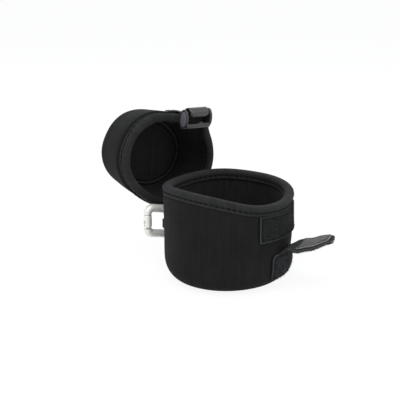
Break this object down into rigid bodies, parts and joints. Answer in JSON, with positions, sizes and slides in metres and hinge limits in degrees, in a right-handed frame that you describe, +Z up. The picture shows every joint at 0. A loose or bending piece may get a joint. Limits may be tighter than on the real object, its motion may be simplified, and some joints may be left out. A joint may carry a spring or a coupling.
{
  "type": "lens pouch",
  "caption": "Round padded lens pouch with a soft hinged lid, a hook-and-loop closing strap, a strap buckle on the lid and a snap clip on its back.",
  "frame": {"origin": "centre of the flat base, on the ground", "axes": "+Z up along the cup's axis; the closing strap faces -Y and the open lid hangs behind the body at +Y"},
  "size_m": [0.0961, 0.1677, 0.1089],
  "materials": {
    "shell": "fine ribbed knit",
    "lining": "soft jersey",
    "foam": "foam",
    "tape": "woven tape",
    "fuzz": "looped pile",
    "hooks": "hook tape",
    "buckle": "gloss",
    "clip": "matte",
    "steel": "plain"
  },
  "bodies": {
    "pouch": {"body_shell": "shell", "body_lining": "lining", "base_pad": "foam", "base_lining": "lining", "base_seam_tape": "tape", "body_binding": "tape", "loop_patch": "fuzz", "strap_root": "tape", "hinge_anchor": "tape", "clip_keeper": "tape"},
    "tongue": {"hinge_tongue": "tape"},
    "lid": {"lid_shell": "shell", "lid_lining": "lining", "crown_pad": "foam", "crown_lining": "lining", "lid_seam_tape": "tape", "lid_binding": "tape", "tab_root": "tape"},
    "tab": {"buckle_tab": "tape"},
    "buckle": {"buckle_loop": "buckle"},
    "strap": {"strap_flap": "tape", "hook_panel": "hooks"},
    "clip": {"clip_frame": "clip"},
    "gate": {"clip_gate": "clip", "gate_rivet": "steel", "gate_spring": "steel"}
  },
  "joints": [
    {"name": "tongue_fold", "type": "hinge", "parent": "pouch", "child": "tongue", "pos_m": [0.01215, 0.04172, 0.05213], "axis": [-0.9972, -0.0425, 0.062], "range_deg": [-156, 6], "deforming": ["hinge_tongue"]},
    {"name": "lid_fold", "type": "hinge", "parent": "tongue", "child": "lid", "pos_m": [0.01031, 0.05989, 0.03487], "axis": [0.8615, 0.1585, -0.4824], "range_deg": [-77.48, 3.27]},
    {"name": "tab_swing", "type": "hinge", "parent": "lid", "child": "tab", "pos_m": [0.02329, 0.05106, 0.1044], "axis": [0.8691, -0.2437, -0.4305], "range_deg": [-38.3, 1.76], "deforming": ["buckle_tab"]},
    {"name": "buckle_swing", "type": "hinge", "parent": "tab", "child": "buckle", "pos_m": [0.01894, 0.03506, 0.10467], "axis": [0.8032, -0.5187, -0.2929], "range_deg": [-60.8, 2.63]},
    {"name": "strap_fold", "type": "hinge", "parent": "pouch", "child": "strap", "pos_m": [0, -0.0436, 0.0255], "axis": [-1, 0, 0], "range_deg": [-45, 38]},
    {"name": "clip_swing", "type": "hinge", "parent": "pouch", "child": "clip", "pos_m": [-0.00322, 0.04609, 0.035], "axis": [0, 0, 1], "range_deg": [0, 36]},
    {"name": "gate_swing", "type": "hinge", "parent": "clip", "child": "gate", "pos_m": [-0.01772, 0.05285, 0.0327], "axis": [0.4226, 0.9063, 0], "range_deg": [0, 20], "stiffness_Nm_per_rad": 0.02}
  ],
  "couplings": [
    {"joint": "lid_fold", "follows": "tongue_fold", "ratio": 0.49473},
    {"joint": "tab_swing", "follows": "tongue_fold", "ratio": 0.24359},
    {"joint": "buckle_swing", "follows": "tongue_fold", "ratio": 0.3878}
  ]
}
